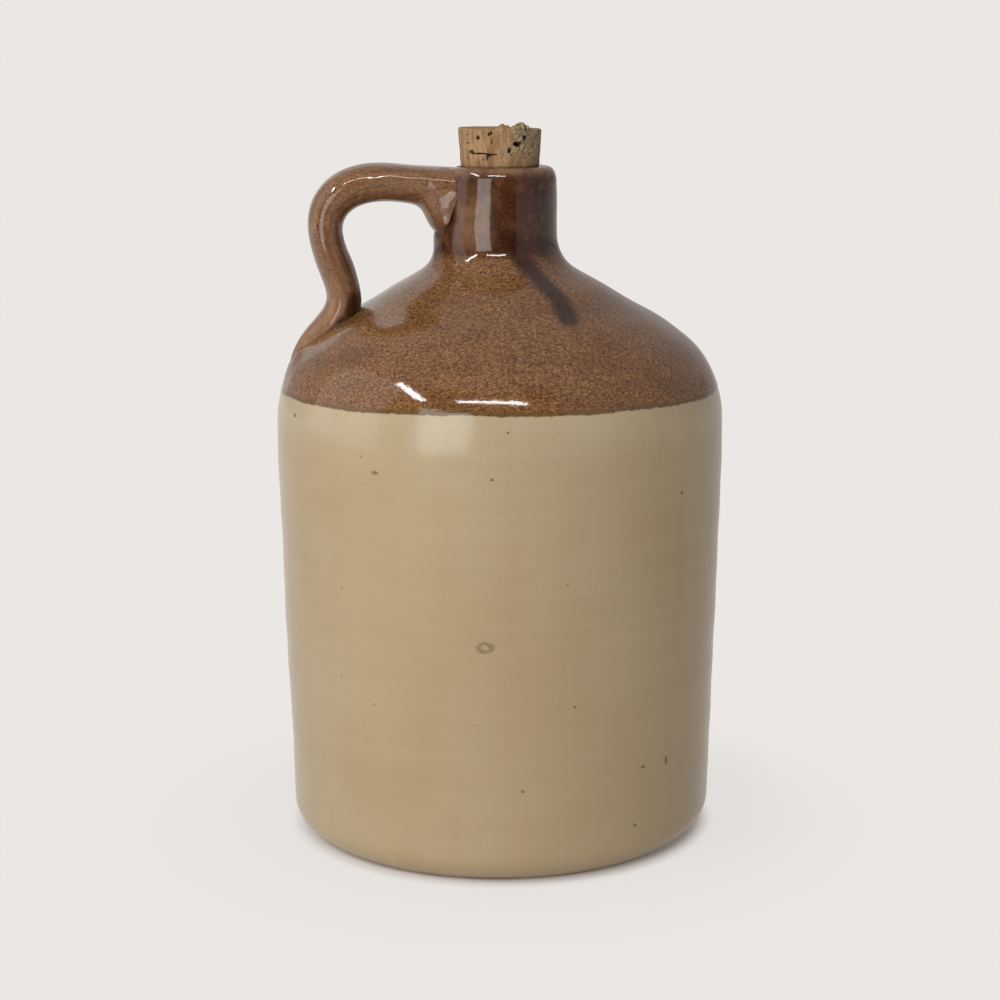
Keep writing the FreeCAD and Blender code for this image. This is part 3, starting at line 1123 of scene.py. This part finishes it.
@dataclass
class CorkPlug:
    """The tapered cork: streaked sides with pores and a crack, and a crumbled upper edge.

    Attributes:
        rim_height: Height of the jug's rim.
        stand: How far the cork stands above it.
        length: The cork's whole length.
        top_radius: Radius at its top.
        taper: Slant of its side, in degrees.
        shift: How far the part above the rim leans towards +X.
        slant: How far the top drops for each millimetre towards +X.
        carved: Length at the top that is sampled finely, for the pores.
        around: Number of points around it.
        crumbled: Angle of the middle of the crumbled edge, and its reach, in degrees.
        pores: Holes, with the longer ones for cracks.
        crumbs: Crumbs that stand up.
    """

    rim_height: float = 266.5
    stand: float = 15.0
    length: float = 37.6
    top_radius: float = 16.45
    taper: float = 4.0
    shift: float = 0.6
    slant: float = 0.022
    carved: float = 17.0
    around: int = 420
    crumbled: tuple[float, float] = (299.0, 19.0)
    pores: tuple[Pore, ...] = (
        Pore(290.6, 8.6, 1.6, 0.9, 2.2), Pore(279.0, 6.4, 0.7, 1.0, 1.8), Pore(232.5, 10.9, 0.9, 0.8, 1.2),
        Pore(249.5, 12.4, 0.4, 0.8, 0.9), Pore(253.4, 13.2, 0.4, 0.8, 0.9), Pore(221.0, 5.4, 1.4, 0.8, 1.6),
        Pore(235.5, 5.1, 3.3, 0.28, 1.2), Pore(254.5, 4.8, 2.4, 0.22, 0.8), Pore(245.8, 3.7, 0.35, 1.1, 1.0),
        Pore(248.5, 4.3, 0.6, 0.5, 1.0), Pore(302.0, 11.2, 1.0, 0.9, 0.9), Pore(20.0, 8.0, 1.3, 0.9, 1.5),
        Pore(58.0, 5.0, 2.2, 0.5, 1.4), Pore(95.0, 10.0, 1.2, 0.9, 1.6), Pore(130.0, 6.0, 0.8, 1.1, 1.2),
        Pore(170.0, 9.0, 1.8, 0.4, 1.2), Pore(340.0, 5.0, 0.6, 0.5, 0.8),
    )
    crumbs: tuple[Crumb, ...] = (
        Crumb(-0.4, -14.4, 1.9, 2.1), Crumb(8.0, -12.2, 1.9, 2.9), Crumb(4.6, -13.8, 2.2, 0.9),
    )

    def outline(self) -> tuple[Array, Array]:
        """Half section from near the axis, out over the small end, up the side and in over the top.

        Returns:
            Points and normals, each as radius and height.
        """
        lower_edge, upper_edge = 0.6, 0.8
        line = Outline(2.0, self.rim_height + self.stand - self.length, 0.0)
        foot = self.top_radius - self.length * math.tan(math.radians(self.taper))
        line.run(foot - 2.6, 4.0)
        line.turn(lower_edge, 90.0 - self.taper, 0.3)
        line.run(self.length - lower_edge - self.carved, 3.0)
        line.run(self.carved - upper_edge, 0.22)
        line.turn(upper_edge, 90.0 + self.taper, 0.2)
        line.run(float(line.place[0]) - 0.5, 0.3)
        return line.sampled()

    def holes(self, points: Array, degrees: Array, height: Array) -> tuple[Array, Array]:
        """Pores and cracks: ovals in arc length and height, with a wobbling edge.

        Args:
            points: Points of the cork.
            degrees: Their angles around the axis.
            height: Their heights above the rim.

        Returns:
            The share by which each point lies in a hole, and the depth to sink it to.
        """
        pore, sink = np.zeros(degrees.shape), np.zeros(degrees.shape)
        wobble = 0.45 * value_noise(points, 1.1, 21)
        for hole in self.pores:
            arc = np.radians((degrees - hole.degrees + 180.0) % 360.0 - 180.0) * self.top_radius
            near = np.hypot(arc / hole.across, (height - hole.height - 0.4) / hole.tall) + wobble
            mask = smoothstep(1.25, 0.75, near)
            pore = np.maximum(pore, mask)
            sink = np.maximum(sink, mask * hole.depth)
        return pore, sink

    def build(self, bark: bpy.types.Material) -> bpy.types.Object:
        """Revolve the tapered side and the top, then sink the pores and raise the crumbs.

        Args:
            bark: The cork's finish.

        Returns:
            The cork.
        """
        profile, normal = self.outline()
        angle = np.linspace(0.0, 2.0 * math.pi, self.around, endpoint=False)[None, :]
        turn = np.broadcast_to(angle, (len(profile), self.around))
        ring = np.stack([np.cos(turn), np.sin(turn)], axis=-1)
        level = np.broadcast_to(profile[:, None, 1:], (*turn.shape, 1))
        points = np.concatenate([profile[:, None, :1] * ring, level], axis=-1)
        up = np.broadcast_to(normal[:, None, 1:], (*turn.shape, 1))
        outward = np.concatenate([normal[:, None, :1] * ring, up], axis=-1)
        height = points[..., 2] - self.rim_height
        degrees = np.degrees(turn)
        # Pores lie on the side only, so their reach fades out over the top.
        on_side = smoothstep(0.2, 0.8, outward[..., 0] ** 2 + outward[..., 1] ** 2)
        pore, sink = (value * on_side for value in self.holes(points, degrees, height))
        # Small pits all over: where a fine field runs high, the cork has lost a cell.
        pit = smoothstep(0.62, 0.85, value_noise(points, 1.5, 23)) * smoothstep(-1.0, 1.0, height)
        middle, reach = self.crumbled
        crumble = bell((degrees - middle + 180.0) % 360.0 - 180.0, 0.0, reach) * smoothstep(0.0, 9.0, height)
        olive = smoothstep(306.0, 318.0, degrees) * smoothstep(358.0, 350.0, degrees)
        crumb = value_noise(points, 2.1, 29) + 0.6 * value_noise(points, 0.9, 31)
        out = -sink - 0.35 * pit + crumble * 0.6 * crumb + 0.12 * value_noise(points, 3.0, 37)
        out += crumble * 0.7 * np.clip(crumb, 0.0, 1.0) * smoothstep(0.3, 0.9, outward[..., 2])
        seated = smoothstep(-1.5, 0.5, height)
        points = points + (out * seated)[..., None] * outward
        # The top slants down a little towards +X, and crumbs stand up on its front edge.
        rise = -self.slant * points[..., 0] * smoothstep(10.0, 15.0, height)
        for bit in self.crumbs:
            near = np.hypot(points[..., 0] - bit.x, points[..., 1] - bit.y)
            rise += bit.tall * np.exp(-((near / bit.size) ** 2)) * smoothstep(13.5, 15.2, height)
        points[..., 2] += rise
        points[..., 0] += self.shift * seated
        # Painted shade: the cork is dark where it enters the neck.
        pore = np.maximum(pore + 0.75 * pit, 0.65 * smoothstep(1.1, 0.1, height))
        fields = {
            "pore": np.clip(pore, 0.0, 1.0),
            "weathered": np.clip(crumble * 1.1 + 0.7 * olive, 0.0, 1.0),
        }
        poles = np.array([[0.0, 0.0, profile[0, 1]], [self.shift, 0.0, float(points[-1, :, 2].mean())]])
        plug = Tube("cork_plug", points, poles[0], poles[1], fields).build()
        plug.data.materials.append(bark)
        return plug


# ---------------------------------------------------------------- studio


@dataclass(frozen=True)
class Softbox:
    """A lamp on a circle round the jug, aimed at its middle, in metres, degrees and watts.

    Azimuth 0 is the camera's side, and it is positive towards the right of the view. The lean turns the
    lamp about its own direction.
    """

    name: str
    azimuth: float
    elevation: float
    distance: float
    width: float
    height: float
    watts: float
    lean: float = 0.0


@dataclass(frozen=True)
class Card:
    """An upright curved panel round the jug, met by mirror rays alone, so it only shows in the glaze.

    Attributes:
        name: Its name.
        start: Azimuth where it starts, in degrees as a lamp's.
        end: Azimuth where it ends.
        radius: Its distance, in metres.
        low: Height of its lower edge above the aim, in metres.
        high: Height of its upper edge above the aim.
        colour: Its colour, in hex.
        strength: Its brightness.
    """

    name: str
    start: float
    end: float
    radius: float
    low: float
    high: float
    colour: str
    strength: float


@dataclass
class Studio:
    """Camera, pale floor and room, softboxes, and the cards that the glaze mirrors.

    Attributes:
        lens_mm: Focal length on a 36 mm sensor.
        distance: Distance of the camera from the jug's axis, in metres as are all lengths here.
        eye_height: Height of the camera.
        pitch: How far it looks down, in degrees.
        roll: How far it is turned about its own direction.
        azimuth: How far it stands from the front, with the handle's side below 0.
        aim: What lamps and cards are placed around.
        paper: The backdrop's colour.
        floor_paper: The floor's own colour, under the jug.
        floor_drop: How far the floor lies below the foot, so that the two faces stay apart.
        room: Colour and strength of the light from all around.
        walls: Colour and strength of the room as the glaze mirrors it.
        lamps: The softboxes.
        cards: The mirrored panels.
    """

    lens_mm: float = 82.08
    distance: float = 0.9044
    eye_height: float = 0.3133
    pitch: float = 11.29
    roll: float = -0.27
    azimuth: float = -5.0
    aim: tuple[float, float, float] = (0.0, 0.0, 0.15)
    paper: str = "ebe7e4"
    floor_paper: str = "e6e2df"
    floor_drop: float = 0.00005
    room: tuple[str, float] = ("ece8e4", 0.358)
    walls: tuple[str, float] = ("c9c2c4", 0.74)
    lamps: tuple[Softbox, ...] = (
        Softbox("window", -28.1, 8.3, 1.6, 0.72, 1.14, 8.6),
        Softbox("front_tube", -5.0, 40.5, 1.5, 0.80, 0.07, 4.7),
        Softbox("side_tube", -55.5, 42.0, 1.5, 0.66, 0.085, 4.6, -30.0),
        Softbox("left_wall", -88.0, 22.0, 1.6, 1.3, 1.5, 3.4),
    )
    cards: tuple[Card, ...] = (
        Card("dark_room", -62.0, 34.0, 2.4, -2.0, 3.0, "50483f", 0.6),
        Card("dim_right", 104.0, 143.0, 2.4, 0.18, 0.42, "cac1c1", 0.50),
        Card("paper_right", 154.0, 180.0, 2.2, 0.35, 1.9, "ebe7e4", 0.55),
        Card("paper_left", 180.0, 213.0, 2.2, 0.0, 1.9, "ebe7e4", 0.85),
    )

    def camera(self) -> None:
        """Stand the camera in front of the jug, a little to the handle's side, looking down."""
        turn = math.radians(self.azimuth)
        data = bpy.data.cameras.new("camera")
        data.lens, data.sensor_width = self.lens_mm, 36.0
        data.clip_start, data.clip_end = 0.05, 30.0
        camera = bpy.data.objects.new("camera", data)
        camera.location = (self.distance * math.sin(turn), -self.distance * math.cos(turn), self.eye_height)
        spin = Matrix.Rotation(turn, 4, "Z") @ Matrix.Rotation(math.radians(90.0 - self.pitch), 4, "X")
        spin = spin @ Matrix.Rotation(math.radians(self.roll), 4, "Z")
        camera.rotation_euler = spin.to_euler()
        bpy.context.scene.collection.objects.link(camera)
        bpy.context.scene.camera = camera

    def placed(self, azimuth: float, elevation: float, distance: float) -> Array:
        """Find a place around the aim.

        Args:
            azimuth: Degrees from the camera's side.
            elevation: Degrees up from level.
            distance: Distance from the aim.

        Returns:
            The place.
        """
        turn, tilt = math.radians(self.azimuth + azimuth), math.radians(elevation)
        level, up = distance * math.cos(tilt), distance * math.sin(tilt)
        return np.array(self.aim) + (level * math.sin(turn), -level * math.cos(turn), up)

    def light(self, lamp: Softbox) -> None:
        """Hang one softbox, facing the jug.

        Args:
            lamp: What to hang.
        """
        data = bpy.data.lights.new(lamp.name, "AREA")
        data.shape, data.size, data.size_y = "RECTANGLE", lamp.width, lamp.height
        data.energy = lamp.watts
        holder = bpy.data.objects.new(lamp.name, data)
        at = self.placed(lamp.azimuth, lamp.elevation, lamp.distance)
        holder.location = at
        facing = Vector(at - np.array(self.aim)).to_track_quat("Z", "Y").to_matrix()
        holder.rotation_euler = (facing @ Matrix.Rotation(math.radians(lamp.lean), 3, "Z")).to_euler()
        bpy.context.scene.collection.objects.link(holder)

    def hang(self, card: Card) -> None:
        """Stand one card: two rows of points on a circle, joined by quads.

        Args:
            card: What to stand.
        """
        count = 24
        turns = np.linspace(card.start, card.end, count)
        feet = np.stack([self.placed(float(turn), 0.0, card.radius) for turn in turns])
        points = np.concatenate([feet + (0, 0, card.low), feet + (0, 0, card.high)])
        piece = panel(card.name, points, [(i, i + 1, count + i + 1, count + i) for i in range(count - 1)])
        material, nodes = new_material(card.name)
        nodes.add("OutputMaterial", {
            "Surface": nodes.add("Emission", {"Color": card.colour, "Strength": card.strength}),
        })
        piece.data.materials.append(material)
        piece.visible_camera = piece.visible_diffuse = False
        piece.visible_shadow = piece.visible_transmission = False

    def floor(self) -> None:
        """Pale paper floor: it keeps the jug's shadow close by, and fades to the backdrop's colour.

        Diffuse paper takes the shadow. Where a camera, mirror or glass ray meets the floor, an even glow
        takes over: its share rises with the distance from the axis, from 0.15 at 78 mm to 0.87 at 88 mm
        and 1 at 170 mm. In the glaze that glow is dimmer towards +X, as the room is.
        """
        reach, low = 6.0, -self.floor_drop
        corners = [(-reach, -reach, low), (reach, -reach, low), (reach, reach, low), (-reach, reach, low)]
        piece = panel("floor", np.array(corners), [(0, 1, 2, 3)])
        material, nodes = new_material("pale_paper")
        glossy = nodes.add("LightPath", take="Is Glossy Ray")
        rays = glossy.node.outputs
        seen = nodes.add("Math", (rays["Is Camera Ray"], glossy), operation="MAXIMUM")
        seen = nodes.add("Math", (seen, rays["Is Transmission Ray"]), operation="MAXIMUM")
        away = nodes.add("VectorMath", (nodes.place,), "Value", operation="LENGTH")
        edge = nodes.add("MapRange", (away, 0.078, 0.088, 0.15, 0.87), **SOFT)
        fade = nodes.add("MapRange", (away, 0.088, 0.17, 1.0, 1.15), **SOFT)
        near = nodes.add("Math", (edge, fade), operation="MULTIPLY")
        near = nodes.add("Math", (near, 1.0), operation="MINIMUM")
        share = nodes.add("Math", (seen, near), operation="MULTIPLY")
        across = nodes.add("SeparateXYZ", (nodes.place,), "X")
        dim = nodes.add("MapRange", (across, -0.2, 0.4, 0.14, 0.36), **SOFT)
        loss = nodes.add("Math", (glossy, dim), operation="MULTIPLY")
        level = nodes.add("Math", (1.0, loss), operation="SUBTRACT")
        matt = nodes.add("BsdfDiffuse", {"Color": self.floor_paper})
        glow = nodes.add("Emission", {"Color": self.paper, "Strength": level})
        nodes.add("OutputMaterial", {"Surface": nodes.add("MixShader", (share, matt, glow))})
        piece.data.materials.append(material)

    def world(self) -> None:
        """Even room light, with the paper's colour where the camera or a glass ray looks past the jug."""
        world = bpy.data.worlds.new("room")
        world.use_nodes = True
        nodes = Nodes(world.node_tree)
        mirror = nodes.add("LightPath", take="Is Glossy Ray")
        rays = mirror.node.outputs
        seen = nodes.add("Math", (rays["Is Camera Ray"], rays["Is Transmission Ray"]), operation="MAXIMUM")
        lights = (self.room, self.walls, (self.paper, 1.0))
        room, walls, paper = (nodes.add("Background", light) for light in lights)
        lit = nodes.add("MixShader", (mirror, room, walls))
        nodes.add("OutputWorld", {"Surface": nodes.add("MixShader", (seen, lit, paper))})
        bpy.context.scene.world = world

    def build(self) -> None:
        """Set up everything around the jug."""
        scene = bpy.context.scene
        scene.view_settings.view_transform = "Standard"
        self.camera()
        for lamp in self.lamps:
            self.light(lamp)
        for card in self.cards:
            self.hang(card)
        self.floor()
        self.world()


# ---------------------------------------------------------------- main


def main() -> None:
    """Load the frame, build the jug and its cork, set up the studio, and log each piece's points and faces.
    """
    logging.basicConfig(level=logging.INFO, format="%(name)s: %(message)s")
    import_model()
    Studio().build()
    glaze, foot = TwoToneGlaze().build(), WipedFoot().build()
    body = ThrownBody().build(glaze, foot)
    strap = PulledStrap().build(glaze)
    pad = PressedPad().build(glaze)
    plug = CorkPlug().build(NaturalCork().build())
    stoneware = [(piece, "jug", "glazed_stoneware") for piece in (body, strap, pad)]
    for piece, node, slot in (*stoneware, (plug, "cork", "cork")):
        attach(piece, "root")
        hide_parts(node)
        LOG.info("%s: %d points, %d faces", piece.name, len(piece.data.vertices), len(piece.data.polygons))


if __name__ == "__main__":
    main()
